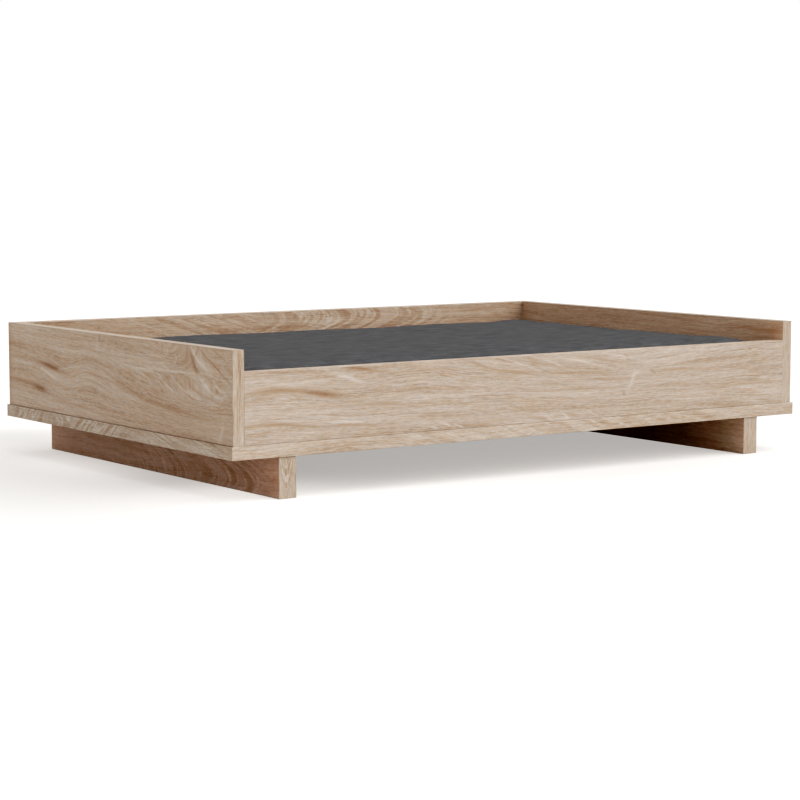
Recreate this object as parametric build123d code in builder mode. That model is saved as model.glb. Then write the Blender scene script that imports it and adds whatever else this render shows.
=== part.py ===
from build123d import *
import os

# Dog bed: a low tray of faced boards on two skids, with a loose foam cushion in a zipped cover.
# Millimetres, +Z up, X along the length, the low front wall at -Y. The origin is on the floor,
# under the middle of the bed.

os.makedirs("parts", exist_ok=True)

# Boards
bed_length = 927.0  # base board, left to right
bed_depth = 618.0  # base board, front to back
board = 16.4  # thickness of the base and of the walls
base_reveal = 2.5  # how far the base board stands proud of the walls
side_wall_height = 116.0
front_wall_height = 89.0
skid_thickness = 25.0
skid_height = 51.5
skid_set_in = 64.5  # from a side wall's outer face to the skid's outer face
glide_proud = 0.5  # how far the glides lift the skids off the floor
band = 0.8  # thickness of the edge bands
band_round = 0.5  # rounding of the bands' long outer edges
joint_chamfer = 0.8  # on the walls' lower outer edges, where they meet the base
drill_gap = 0.1  # radial play of every peg and screw in its hole
blind_end = 1.0  # how much deeper a blind hole is than what stands in it

# Fasteners
dowel_radius = 4.0
dowel_chamfer = 0.8
dowel_length = 30.0
dowel_in_base = 11.0  # the rest is in the wall or the skid
corner_dowel_length = 34.0
corner_dowel_in_side = 11.0  # the rest is in the end of the long wall
wall_screw_length = 50.0
skid_screw_length = 50.0
screw_radius = 2.5
screw_head_radius = 5.0
screw_head_angle = 90.0
screw_cross = 5.0  # length of the cross cut in a screw head
screw_cross_width = 1.2
screw_cross_depth = 2.0
screw_head_below = 0.4  # how far a screw head sits below the board's face
cam_radius = 7.5
cam_depth = 12.4
cam_from_end = 34.0  # cam centre to the end of its board
cam_lid = 1.6  # solid disc of the cam over its bolt slot
cam_cross = 8.0
cam_cross_width = 1.6
cam_cross_depth = 0.9
cam_bolt_radius = 3.0
cam_bolt_head_radius = 3.6
cam_bolt_head_length = 3.0
cam_bolt_collar_length = 2.0
cam_bolt_slot_play = 0.5
cam_bolt_in_side = 10.0
cam_bolt_bore_radius = 4.0
glide_radius = 9.0
glide_thickness = 2.5
glide_chamfer = 0.3

# Cushion
cushion_thickness = 86.5
cushion_side_gap = 3.0  # to the side walls and to the front wall
cushion_back_gap = 6.0  # to the back wall, which leaves room for the zip slider
cushion_lift_gap = 0.3  # between the cushion and the base board
cushion_corner_radius = 22.0
cover_thickness = 1.2
foam_gap = 0.3
foam_edge_round = 8.0

# Zip
zip_length = 700.0
zip_tape_width = 13.0
zip_tape_thickness = 0.5
zip_tape_gap = 0.6  # between the two tapes, under the coil
zip_coil_width = 4.0
zip_coil_thickness = 1.2
zip_coil_round = 0.5
zip_coil_end_gap = 6.0
zip_stop_length = 3.0
zip_stop_proud = 0.4  # how far the end stops stand out beyond the coil
zip_slider_length = 9.0
zip_slider_width = 8.0
zip_slider_height = 3.0
zip_slider_round = 1.6
zip_slider_from_stop = 4.0  # between the closed slider and its end stop
zip_running_gap = 0.3
zip_pull_width = 6.0
zip_pull_length = 22.0
zip_pull_thickness = 1.0
zip_pull_round = 2.0

# Worked out from the above
wall_length = bed_length - 2 * base_reveal
wall_depth = bed_depth - 2 * base_reveal
base_bottom = glide_proud + skid_height
base_top = base_bottom + board
wall_x = wall_length / 2
wall_y = wall_depth / 2
inner_x = wall_x - board
inner_y = wall_y - board
side_top = base_top + side_wall_height
front_top = base_top + front_wall_height
skid_x = wall_x - skid_set_in - skid_thickness / 2
long_wall_y = wall_y - board / 2  # centre line of the front and back walls
side_wall_x = wall_x - board / 2  # centre line of the side walls

# Where the fasteners stand along each wall or skid, from its middle
long_wall_screws = (-360.0, -120.0, 120.0, 360.0)
side_wall_screws = (-220.0, 0.0, 220.0)
long_wall_dowels = (-240.0, 0.0, 240.0)
side_wall_dowels = (-110.0, 110.0)
skid_screws = (-240.0, -80.0, 80.0, 240.0)
skid_dowels = (-160.0, 0.0, 160.0)
glides = (-270.0, 0.0, 270.0)
back_cam_heights = (30.0, 76.0)  # above the base board
front_cam_heights = (24.0, 66.0)
back_corner_dowel_height = 58.0
front_corner_dowel_height = 45.0

screw_places = [(x, y) for y in (-long_wall_y, long_wall_y) for x in long_wall_screws]
screw_places += [(x, y) for x in (-side_wall_x, side_wall_x) for y in side_wall_screws]
dowel_places = [(x, y) for y in (-long_wall_y, long_wall_y) for x in long_wall_dowels]
dowel_places += [(x, y) for x in (-side_wall_x, side_wall_x) for y in side_wall_dowels]
skid_screw_places = [(x, y) for x in (-skid_x, skid_x) for y in skid_screws]
skid_dowel_places = [(x, y) for x in (-skid_x, skid_x) for y in skid_dowels]
glide_places = [(x, y) for x in (-skid_x, skid_x) for y in glides]


def save(part, name):
    """Label one finished piece and write its STEP file."""
    part.label = name
    export_step(part, f"parts/{name}.step")


def block(low, high):
    """Add a box between two corners to the part being built."""
    middle = [(a + b) / 2 for a, b in zip(low, high)]
    size = [b - a for a, b in zip(low, high)]
    with Locations(tuple(middle)):
        Box(*size)


def drill(places, z_mouth, depth, radius, up=False):
    """Cut round holes down from z_mouth, or up from it, at the places given."""
    with BuildSketch(Plane.XY.offset(z_mouth)) as mouths:
        with Locations(*places):
            Circle(radius + drill_gap)
    extrude(mouths.sketch, amount=depth if up else -depth, mode=Mode.SUBTRACT)


def countersink(places, z_mouth, depth, up=False):
    """Cut screw holes with a conical mouth, from below when up is true."""
    mouth = Plane((0, 0, z_mouth), z_dir=(0, 0, -1 if up else 1))
    with Locations(mouth):
        # A plane that looks down is turned over about X, so its own Y runs backwards.
        with Locations(*[(x, -y if up else y) for x, y in places]):
            CounterSinkHole(
                radius=screw_radius + drill_gap,
                counter_sink_radius=screw_head_radius + screw_head_below + drill_gap,
                depth=depth,
                counter_sink_angle=screw_head_angle,
            )


def screw(z_head, length, down):
    """A countersunk screw on the Z axis, its head's flat at z_head."""
    head_height = screw_head_radius - screw_radius
    with BuildPart() as one:
        with BuildSketch(Plane.XZ):
            with BuildLine():
                Polyline(
                    (0, 0),
                    (screw_head_radius, 0),
                    (screw_radius, -head_height),
                    (screw_radius, -length + 2 * screw_radius),
                    (0, -length),
                    close=True,
                )
            make_face()
        revolve(axis=Axis.Z)
        with BuildSketch():
            Rectangle(screw_cross, screw_cross_width)
            Rectangle(screw_cross_width, screw_cross)
        extrude(amount=-screw_cross_depth, mode=Mode.SUBTRACT)
    turned = one.part if down else one.part.rotate(Axis.X, 180)
    return turned.moved(Location((0, 0, z_head)))


def peg(radius, length):
    """A wooden peg along +Z from the origin, with chamfered ends."""
    with BuildPart() as one:
        Cylinder(radius, length, align=(Align.CENTER, Align.CENTER, Align.MIN))
        chamfer(one.edges().filter_by(GeomType.CIRCLE), dowel_chamfer)
    return one.part


def group(solids):
    """Several separate solids as one node."""
    return Compound(children=list(solids))


def round_long_edges(part, axis, keep):
    """Round the edges of the part that run along axis and that keep accepts."""
    fillet([e for e in part.edges().filter_by(axis) if keep(e.center())], band_round)


# Base board, with its screw and dowel holes

with BuildPart() as base_board:
    block(
        (-bed_length / 2 + band, -bed_depth / 2 + band, base_bottom),
        (bed_length / 2 - band, bed_depth / 2 - band, base_top),
    )
    countersink(screw_places, base_bottom, board, up=True)
    countersink(skid_screw_places, base_top, board)
    drill(dowel_places, base_top, dowel_in_base + blind_end, dowel_radius)
    drill(skid_dowel_places, base_bottom, dowel_in_base + blind_end, dowel_radius, up=True)
save(base_board.part, "base_board")


def banded_edge(low, high, axis, keep):
    """One edge band with its long outer edges rounded."""
    with BuildPart() as strip:
        block(low, high)
        round_long_edges(strip, axis, keep)
    return strip.part


base_bands = []
for side in (-1, 1):
    low_y, high_y = sorted((side * bed_depth / 2, side * (bed_depth / 2 - band)))
    base_bands.append(
        banded_edge(
            (-bed_length / 2, low_y, base_bottom),
            (bed_length / 2, high_y, base_top),
            Axis.X,
            lambda c, side=side: side * c.Y > bed_depth / 2 - band / 2,
        )
    )
    low_x, high_x = sorted((side * bed_length / 2, side * (bed_length / 2 - band)))
    base_bands.append(
        banded_edge(
            (low_x, -bed_depth / 2 + band, base_bottom),
            (high_x, bed_depth / 2 - band, base_top),
            Axis.Y,
            lambda c, side=side: side * c.X > bed_length / 2 - band / 2,
        )
    )
save(group(base_bands), "base_edge_bands")

# Side panels, each with a band on its front, back and top edges


def side_panel(side):
    """An end wall: side is -1 on the left and 1 on the right."""
    outer, inner = side * wall_x, side * inner_x
    with BuildPart() as panel:
        block(
            (min(outer, inner), -wall_y + band, base_top),
            (max(outer, inner), wall_y - band, side_top - band),
        )
        foot = [e for e in panel.edges().filter_by(Axis.Y) if e.center().Z < base_top + 1]
        chamfer([e for e in foot if abs(e.center().X) > wall_x - 1], joint_chamfer)
        drill(
            [p for p in screw_places if abs(p[0] - side * side_wall_x) < 1],
            base_top, wall_screw_length - board + blind_end, screw_radius, up=True,
        )
        drill(
            [p for p in dowel_places if abs(p[0] - side * side_wall_x) < 1],
            base_top, dowel_length - dowel_in_base + blind_end, dowel_radius, up=True,
        )
        holes = [(long_wall_y, h, cam_bolt_radius, cam_bolt_in_side) for h in back_cam_heights]
        holes += [(-long_wall_y, h, cam_bolt_radius, cam_bolt_in_side) for h in front_cam_heights]
        holes += [(long_wall_y, back_corner_dowel_height, dowel_radius, corner_dowel_in_side + blind_end)]
        holes += [(-long_wall_y, front_corner_dowel_height, dowel_radius, corner_dowel_in_side + blind_end)]
        for y, height, radius, depth in holes:
            mouth = Plane((inner, y, base_top + height), z_dir=(side, 0, 0))
            with BuildSketch(mouth):
                Circle(radius + drill_gap)
            extrude(amount=depth, mode=Mode.SUBTRACT)
    return panel.part


def side_bands(side):
    """The three bands of an end wall: front end, back end, and the top between them."""
    outer, inner = side * wall_x, side * inner_x
    low_x, high_x = min(outer, inner), max(outer, inner)
    bands = []
    for end in (-1, 1):
        low_y, high_y = sorted((end * wall_y, end * (wall_y - band)))
        bands.append(
            banded_edge(
                (low_x, low_y, base_top),
                (high_x, high_y, side_top),
                Axis.Z,
                lambda c, end=end: end * c.Y > wall_y - band / 2,
            )
        )
    bands.append(
        banded_edge(
            (low_x, -wall_y + band, side_top - band),
            (high_x, wall_y - band, side_top),
            Axis.Y,
            lambda c: c.Z > side_top - band / 2,
        )
    )
    return bands


for side, word in ((-1, "left"), (1, "right")):
    save(side_panel(side), f"{word}_side_panel")
    save(group(side_bands(side)), f"{word}_side_edge_bands")

# Front and back panels between the side panels, with cam pockets on their inner faces


def long_panel(side, top, cam_heights, dowel_height):
    """The front wall, side -1, or the back wall, side 1."""
    outer, inner = side * wall_y, side * inner_y
    with BuildPart() as panel:
        block(
            (-inner_x, min(outer, inner), base_top),
            (inner_x, max(outer, inner), top - band),
        )
        foot = [e for e in panel.edges().filter_by(Axis.X) if e.center().Z < base_top + 1]
        chamfer([e for e in foot if abs(e.center().Y) > wall_y - 1], joint_chamfer / 2)
        drill(
            [p for p in screw_places if abs(p[1] - side * long_wall_y) < 1],
            base_top, wall_screw_length - board + blind_end, screw_radius, up=True,
        )
        drill(
            [p for p in dowel_places if abs(p[1] - side * long_wall_y) < 1],
            base_top, dowel_length - dowel_in_base + blind_end, dowel_radius, up=True,
        )
        for end in (-1, 1):
            for height in cam_heights:
                z = base_top + height
                pocket = Plane((end * (inner_x - cam_from_end), inner, z), z_dir=(0, side, 0))
                with BuildSketch(pocket):
                    Circle(cam_radius + drill_gap)
                extrude(amount=cam_depth + drill_gap, mode=Mode.SUBTRACT)
                bore = Plane((end * inner_x, side * long_wall_y, z), z_dir=(-end, 0, 0))
                with BuildSketch(bore):
                    Circle(cam_bolt_bore_radius)
                extrude(amount=cam_from_end, mode=Mode.SUBTRACT)
            z = base_top + dowel_height
            with BuildSketch(Plane((end * inner_x, side * long_wall_y, z), z_dir=(-end, 0, 0))):
                Circle(dowel_radius + drill_gap)
            extrude(amount=corner_dowel_length - corner_dowel_in_side + blind_end, mode=Mode.SUBTRACT)
    return panel.part


def long_band(side, top):
    """The top band of the front or back wall."""
    outer, inner = side * wall_y, side * inner_y
    return banded_edge(
        (-inner_x, min(outer, inner), top - band),
        (inner_x, max(outer, inner), top),
        Axis.X,
        lambda c: c.Z > top - band / 2,
    )


save(long_panel(-1, front_top, front_cam_heights, front_corner_dowel_height), "front_panel")
save(long_band(-1, front_top), "front_panel_edge_band")
save(long_panel(1, side_top, back_cam_heights, back_corner_dowel_height), "back_panel")
save(long_band(1, side_top), "back_panel_edge_band")

# Skids, with bands on their ends and underside, and seats for the glides


def skid(side):
    """One skid's board."""
    low_x = side * skid_x - skid_thickness / 2
    with BuildPart() as board_on_edge:
        block(
            (low_x, -wall_y + band, glide_proud + band),
            (low_x + skid_thickness, wall_y - band, base_bottom),
        )
        drill(
            [(side * skid_x, y) for y in skid_screws],
            base_bottom, skid_screw_length - board + blind_end, screw_radius,
        )
        drill(
            [(side * skid_x, y) for y in skid_dowels],
            base_bottom, dowel_length - dowel_in_base + blind_end, dowel_radius,
        )
        drill(
            [(side * skid_x, y) for y in glides],
            glide_proud, glide_thickness - glide_proud, glide_radius, up=True,
        )
    return board_on_edge.part


def skid_bands(side):
    """A skid's front, back and underside bands; the glides stand through the last."""
    low_x = side * skid_x - skid_thickness / 2
    bands = []
    for end in (-1, 1):
        low_y, high_y = sorted((end * wall_y, end * (wall_y - band)))
        bands.append(
            banded_edge(
                (low_x, low_y, glide_proud),
                (low_x + skid_thickness, high_y, base_bottom),
                Axis.Z,
                lambda c, end=end: end * c.Y > wall_y - band / 2,
            )
        )
    with BuildPart() as underside:
        block(
            (low_x, -wall_y + band, glide_proud),
            (low_x + skid_thickness, wall_y - band, glide_proud + band),
        )
        drill([(side * skid_x, y) for y in glides], glide_proud, band, glide_radius, up=True)
    bands.append(underside.part)
    return bands


for side, word in ((-1, "left"), (1, "right")):
    save(skid(side), f"{word}_skid")
    save(group(skid_bands(side)), f"{word}_skid_edge_bands")

with BuildPart() as skid_glides:
    with BuildSketch():
        with Locations(*glide_places):
            Circle(glide_radius)
    extrude(amount=glide_thickness)
    chamfer(skid_glides.faces().sort_by(Axis.Z)[: len(glide_places)].edges(), glide_chamfer)
save(skid_glides.part, "skid_glides")

# Screws and pegs

wall_screw = screw(base_bottom + screw_head_below, wall_screw_length, down=False)
save(group(wall_screw.moved(Location((x, y, 0))) for x, y in screw_places), "wall_screws")

skid_screw = screw(base_top - screw_head_below, skid_screw_length, down=True)
save(group(skid_screw.moved(Location((x, y, 0))) for x, y in skid_screw_places), "skid_screws")

dowel = peg(dowel_radius, dowel_length)
wall_dowel_bottom = base_top - dowel_in_base
save(group(dowel.moved(Location((x, y, wall_dowel_bottom))) for x, y in dowel_places), "wall_dowels")

skid_dowel_bottom = base_bottom + dowel_in_base - dowel_length
save(group(dowel.moved(Location((x, y, skid_dowel_bottom))) for x, y in skid_dowel_places), "skid_dowels")

# Corner joints: two cams and a peg at each end of the long walls

long_wall_joints = (
    (-1, front_cam_heights, front_corner_dowel_height),
    (1, back_cam_heights, back_corner_dowel_height),
)


def cam_lock(side, end, height):
    """A round cam in its pocket, with a slot for the bolt's head and a cross for the screwdriver."""
    centre = (end * (inner_x - cam_from_end), side * inner_y, base_top + height)
    lid = Plane(centre, x_dir=(end, 0, 0), z_dir=(0, side, 0))
    slot_width = 2 * (cam_bolt_head_radius + cam_bolt_slot_play)
    with BuildPart() as cam:
        with BuildSketch(lid):
            Circle(cam_radius)
        extrude(amount=cam_depth)
        with BuildSketch(lid.offset(cam_lid)):
            with Locations((cam_radius / 2, 0)):
                Rectangle(cam_radius + slot_width / 2, slot_width)
        extrude(amount=cam_depth, mode=Mode.SUBTRACT)
        with BuildSketch(lid):
            Rectangle(cam_cross, cam_cross_width)
            Rectangle(cam_cross_width, cam_cross)
        extrude(amount=cam_cross_depth, mode=Mode.SUBTRACT)
    return cam.part


def cam_bolt(side, end, height):
    """A headed bolt from the side wall into the cam."""
    reach = cam_from_end - 1.0
    with BuildPart() as bolt:
        start = Plane(
            (end * (inner_x + cam_bolt_in_side), side * long_wall_y, base_top + height),
            z_dir=(-end, 0, 0),
        )
        with BuildSketch(start):
            Circle(cam_bolt_radius)
        extrude(amount=cam_bolt_in_side + reach)
        with BuildSketch(start.offset(cam_bolt_in_side + reach - cam_bolt_head_length)):
            Circle(cam_bolt_head_radius)
        extrude(amount=cam_bolt_head_length)
        with BuildSketch(start.offset(cam_bolt_in_side)):
            Circle(cam_bolt_head_radius)
        extrude(amount=cam_bolt_collar_length)
    return bolt.part


cams, bolts, corner_pegs = [], [], []
corner_peg = peg(dowel_radius, corner_dowel_length)
for side, cam_heights, peg_height in long_wall_joints:
    for end in (-1, 1):
        cams += [cam_lock(side, end, height) for height in cam_heights]
        bolts += [cam_bolt(side, end, height) for height in cam_heights]
        foot = Plane(
            (end * (inner_x + corner_dowel_in_side), side * long_wall_y, base_top + peg_height),
            z_dir=(-end, 0, 0),
        )
        corner_pegs.append(corner_peg.moved(foot.location))
save(group(cams), "cam_locks")
save(group(bolts), "cam_bolts")
save(group(corner_pegs), "corner_dowels")

# Cushion: cover top, boxing and base round a foam core

cushion_x = inner_x - cushion_side_gap
cushion_front = -inner_y + cushion_side_gap
cushion_back = inner_y - cushion_back_gap
cushion_mid_y = (cushion_front + cushion_back) / 2
cushion_depth = cushion_back - cushion_front
cushion_bottom = base_top + cushion_lift_gap
cushion_top = cushion_bottom + cushion_thickness


def cushion_outline(inset):
    """The cushion's plan, set in all round, on the sketch being built."""
    with Locations((0, cushion_mid_y)):
        RectangleRounded(
            2 * (cushion_x - inset), cushion_depth - 2 * inset, cushion_corner_radius - inset
        )


for name, z in (("cover_base", cushion_bottom), ("cover_top", cushion_top - cover_thickness)):
    with BuildPart() as sheet:
        with BuildSketch(Plane.XY.offset(z)):
            cushion_outline(0)
        extrude(amount=cover_thickness)
    save(sheet.part, name)

with BuildPart() as cover_boxing:
    with BuildSketch(Plane.XY.offset(cushion_bottom + cover_thickness)):
        cushion_outline(0)
    extrude(amount=cushion_thickness - 2 * cover_thickness)
    with BuildSketch(Plane.XY.offset(cushion_bottom + cover_thickness)):
        cushion_outline(cover_thickness)
    extrude(amount=cushion_thickness - 2 * cover_thickness, mode=Mode.SUBTRACT)
save(cover_boxing.part, "cover_boxing")

with BuildPart() as foam_core:
    with BuildSketch(Plane.XY.offset(cushion_bottom + cover_thickness + foam_gap)):
        cushion_outline(cover_thickness + foam_gap)
    extrude(amount=cushion_thickness - 2 * (cover_thickness + foam_gap))
    rims = foam_core.faces().filter_by(Axis.Z).edges()
    fillet(rims, foam_edge_round)
save(foam_core.part, "foam_core")

# Zip along the back of the boxing: tapes, coil, end stops, slider and pull

zip_z = (cushion_bottom + cushion_top) / 2
tape_face = cushion_back + zip_tape_thickness
coil_face = tape_face + zip_coil_thickness
coil_half = zip_length / 2 - zip_coil_end_gap
slider_x = coil_half - zip_slider_length / 2 - zip_slider_from_stop

with BuildPart() as zip_tapes:
    for lift in (-1, 1):
        near, far = sorted((lift * zip_tape_gap / 2, lift * zip_tape_width))
        block((-zip_length / 2, cushion_back, zip_z + near), (zip_length / 2, tape_face, zip_z + far))
save(zip_tapes.part, "zip_tapes")

with BuildPart() as zip_coil:
    block(
        (-coil_half, tape_face, zip_z - zip_coil_width / 2),
        (coil_half, coil_face, zip_z + zip_coil_width / 2),
    )
    fillet(zip_coil.faces().sort_by(Axis.Y)[-1].edges().filter_by(Axis.X), zip_coil_round)
save(zip_coil.part, "zip_coil")

with BuildPart() as zip_end_stops:
    for end in (-1, 1):
        low_x, high_x = sorted((end * coil_half, end * (coil_half + zip_stop_length)))
        block(
            (low_x, tape_face, zip_z - zip_coil_width / 2 - zip_stop_proud),
            (high_x, coil_face + zip_stop_proud, zip_z + zip_coil_width / 2 + zip_stop_proud),
        )
save(zip_end_stops.part, "zip_end_stops")

with BuildPart() as zip_slider:
    block(
        (slider_x - zip_slider_length / 2, tape_face + zip_running_gap, zip_z - zip_slider_width / 2),
        (slider_x + zip_slider_length / 2, tape_face + zip_slider_height, zip_z + zip_slider_width / 2),
    )
    fillet(zip_slider.edges().filter_by(Axis.Y), zip_slider_round)
    with BuildSketch(Plane.YZ.offset(slider_x - zip_slider_length)):
        with Locations((tape_face + zip_coil_thickness / 2, zip_z)):
            Rectangle(zip_coil_thickness + 2 * zip_running_gap, zip_coil_width + 2 * zip_running_gap)
    extrude(amount=2 * zip_slider_length, mode=Mode.SUBTRACT)
save(zip_slider.part, "zip_slider")

with BuildPart() as zip_pull:
    block(
        (slider_x - zip_pull_width / 2, tape_face + zip_slider_height, zip_z - zip_pull_length),
        (
            slider_x + zip_pull_width / 2,
            tape_face + zip_slider_height + zip_pull_thickness,
            zip_z + zip_slider_width / 2 - zip_pull_thickness,
        ),
    )
    fillet(zip_pull.edges().filter_by(Axis.Y), zip_pull_round)
save(zip_pull.part, "zip_pull")
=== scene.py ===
import math
import bmesh
import bpy
from mathutils import Matrix, Vector


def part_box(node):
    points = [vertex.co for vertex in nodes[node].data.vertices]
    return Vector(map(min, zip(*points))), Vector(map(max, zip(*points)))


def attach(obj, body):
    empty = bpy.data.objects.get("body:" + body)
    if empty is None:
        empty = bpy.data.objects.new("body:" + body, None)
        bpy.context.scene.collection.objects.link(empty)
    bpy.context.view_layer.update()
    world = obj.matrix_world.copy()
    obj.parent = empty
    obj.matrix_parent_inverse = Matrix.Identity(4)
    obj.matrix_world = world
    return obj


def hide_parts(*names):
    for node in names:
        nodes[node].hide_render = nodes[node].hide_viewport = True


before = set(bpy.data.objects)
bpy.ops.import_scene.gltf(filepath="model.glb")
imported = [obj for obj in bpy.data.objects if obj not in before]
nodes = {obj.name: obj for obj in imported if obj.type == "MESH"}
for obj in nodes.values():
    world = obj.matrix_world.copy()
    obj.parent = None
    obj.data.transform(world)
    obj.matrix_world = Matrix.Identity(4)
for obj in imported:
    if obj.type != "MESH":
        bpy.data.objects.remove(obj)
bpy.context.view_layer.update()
print("frame loaded:", len(nodes), "CAD nodes")

# Camera, floor and light

camera = {
    "place": (-1.8419, -2.6218, 0.3978),
    "turn": 35.05,  # degrees from straight ahead towards the right end
    "dip": 5.79,  # degrees below the horizon
    "lens": 102.2,
}
studio = {
    "floorSize": 16.0,
    "floorPaint": (0.56, 0.56, 0.56),
    "floorBounce": (0.62, 0.58, 0.53),  # what the floor throws back on the bed
    "floorLift": 0.42,  # light that fills the floor's own shadow
    "liftTint": (1.01, 0.983, 0.955),
    "floorShadingSpots": (  # painted light and shadow spots on the floor's glow: x, y, radius in x, radius in y, how much lighter; metres
        (-0.66, 0.00, 0.26, 0.50, -0.20),
        (-0.40, -0.22, 0.12, 0.09, 0.26),
        (-0.45, 0.14, 0.07, 0.20, 0.20),
        (-0.38, 0.50, 0.12, 0.12, -0.17),
        (0.12, -0.37, 0.24, 0.07, -0.10),
    ),
    "ambient": 0.78,
    "ambientTint": (1.0, 0.97, 0.94),
    "keyStrength": 2.6,
    "keySpread": 75.0,  # degrees across the soft light
    "keyFrom": (0.75, -1.0, 1.2),
    "contrast": ((0.045, 0.006), (0.1, 0.052), (0.17, 0.124), (0.25, 0.222), (0.376, 0.376)),
}


def makeCamera():
    data = bpy.data.cameras.new("view")
    data.lens = camera["lens"]
    data.sensor_width = 36.0
    data.clip_end = 50.0
    eye = bpy.data.objects.new("view", data)
    eye.location = camera["place"]
    eye.rotation_euler = (math.radians(90 - camera["dip"]), 0, math.radians(-camera["turn"]))
    bpy.context.scene.collection.objects.link(eye)
    bpy.context.scene.camera = eye


class Wire:
    # a node's output that sums and products can be written on
    def __init__(self, tree, socket):
        self.tree = tree
        self.socket = socket

    def maths(self, operation, first, second=None):
        node = self.tree.nodes.new("ShaderNodeMath")
        node.operation = operation
        for slot, value in zip(node.inputs, (first, second)):
            plug(self.tree, slot, value)
        return Wire(self.tree, node.outputs[0])

    def __add__(self, other):
        return self.maths("ADD", self, other)

    def __radd__(self, other):
        return self.maths("ADD", other, self)

    def __sub__(self, other):
        return self.maths("SUBTRACT", self, other)

    def __rsub__(self, other):
        return self.maths("SUBTRACT", other, self)

    def __mul__(self, other):
        return self.maths("MULTIPLY", self, other)

    def __rmul__(self, other):
        return self.maths("MULTIPLY", other, self)

    def __neg__(self):
        return self.maths("MULTIPLY", self, -1.0)

    def __abs__(self):
        return self.maths("ABSOLUTE", self)

    def __gt__(self, other):
        return self.maths("GREATER_THAN", self, other)

    def exp(self):
        return self.maths("EXPONENT", self)

    def root(self):
        return self.maths("SQRT", self)

    def wave(self):
        return self.maths("SINE", self)

    def over(self, low):
        return self.maths("MAXIMUM", self, low)

    def under(self, high):
        return self.maths("MINIMUM", self, high)

    def held(self):
        return self.over(0.0).under(1.0)


def plug(tree, slot, value):
    if value is None:
        return
    if isinstance(value, Wire):
        tree.links.new(value.socket, slot)
    else:
        slot.default_value = value


class Finish:
    # one material: its tree, its shader, and the nodes that feed it
    def __init__(self, name, **constants):
        self.material = bpy.data.materials.new(name)
        self.material.use_nodes = True
        self.tree = self.material.node_tree
        self.tree.nodes.clear()
        self.shader = self.tree.nodes.new("ShaderNodeBsdfPrincipled")
        sink = self.tree.nodes.new("ShaderNodeOutputMaterial")
        self.tree.links.new(self.shader.outputs[0], sink.inputs["Surface"])
        for label, value in constants.items():
            self.shader.inputs[label.replace("_", " ")].default_value = value

    def add(self, kind, settings=None, sockets=None, out=0):
        node = self.tree.nodes.new(kind)
        for key, value in (settings or {}).items():
            if key == "stops":
                while len(node.color_ramp.elements) < len(value):
                    node.color_ramp.elements.new(0.5)
                for stop, (where, colour) in zip(node.color_ramp.elements, value):
                    stop.position = where
                    stop.color = (*colour, 1.0)
            else:
                setattr(node, key, value)
        for key, value in (sockets or {}).items():
            plug(self.tree, node.inputs[key], value)
        return Wire(self.tree, node.outputs[out])

    def vector(self, x, y, z):
        return self.add("ShaderNodeCombineXYZ", None, {0: x, 1: y, 2: z})

    def parts(self, wire):
        return [self.add("ShaderNodeSeparateXYZ", None, {0: wire}, out=k) for k in range(3)]

    def boardPlace(self, along, across, origin):
        # millimetres along the grain, across it, and out of the face
        turn = Matrix((along, across, Vector(along).cross(Vector(across))))
        shift = turn @ Vector(origin) * -1000.0
        place = self.add("ShaderNodeTexCoord", None, None, out=3)
        settings = {0: place, "Location": shift, "Rotation": turn.to_euler(), "Scale": (1000.0,) * 3}
        return self.parts(self.add("ShaderNodeMapping", None, settings))

    def millimetres(self):
        place = self.add("ShaderNodeTexCoord", None, None, out=3)
        return self.parts(self.add("ShaderNodeMapping", None, {0: place, "Scale": (1000.0,) * 3}))

    def maths(self, operation, *values):
        return self.add("ShaderNodeMath", {"operation": operation}, dict(enumerate(values)))

    def noise(self, x, y, z, detail=1.0, rough=0.5):
        sockets = {"Vector": self.vector(x, y, z), "Scale": 1.0, "Detail": detail, "Roughness": rough}
        return self.add("ShaderNodeTexNoise", None, sockets)

    def blend(self, share, first, second, how="MIX"):
        settings = {"data_type": "RGBA", "blend_type": how, "clamp_factor": True}
        sockets = {0: share, 6: paint(first), 7: paint(second)}
        return self.add("ShaderNodeMix", settings, sockets, out=2)

    def ramp(self, value, stops):
        return self.add("ShaderNodeValToRGB", {"stops": stops}, {0: value})

    def bump(self, height, depth, strength=1.0):
        sockets = {"Height": height, "Distance": depth, "Strength": strength}
        return self.add("ShaderNodeBump", None, sockets)

    def feed(self, **wires):
        for label, wire in wires.items():
            self.tree.links.new(wire.socket, self.shader.inputs[label.replace("_", " ")])
        return self.material


def paint(colour):
    return (*colour, 1.0) if isinstance(colour, tuple) else colour


def bell(s, t, spot):
    # one in the middle of the spot, fading out round it
    s0, t0, length, width = spot[:4]
    a = (s - s0) * (1.0 / length)
    b = (t - t0) * (1.0 / width)
    return (-(a * a + b * b)).exp()


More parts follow.
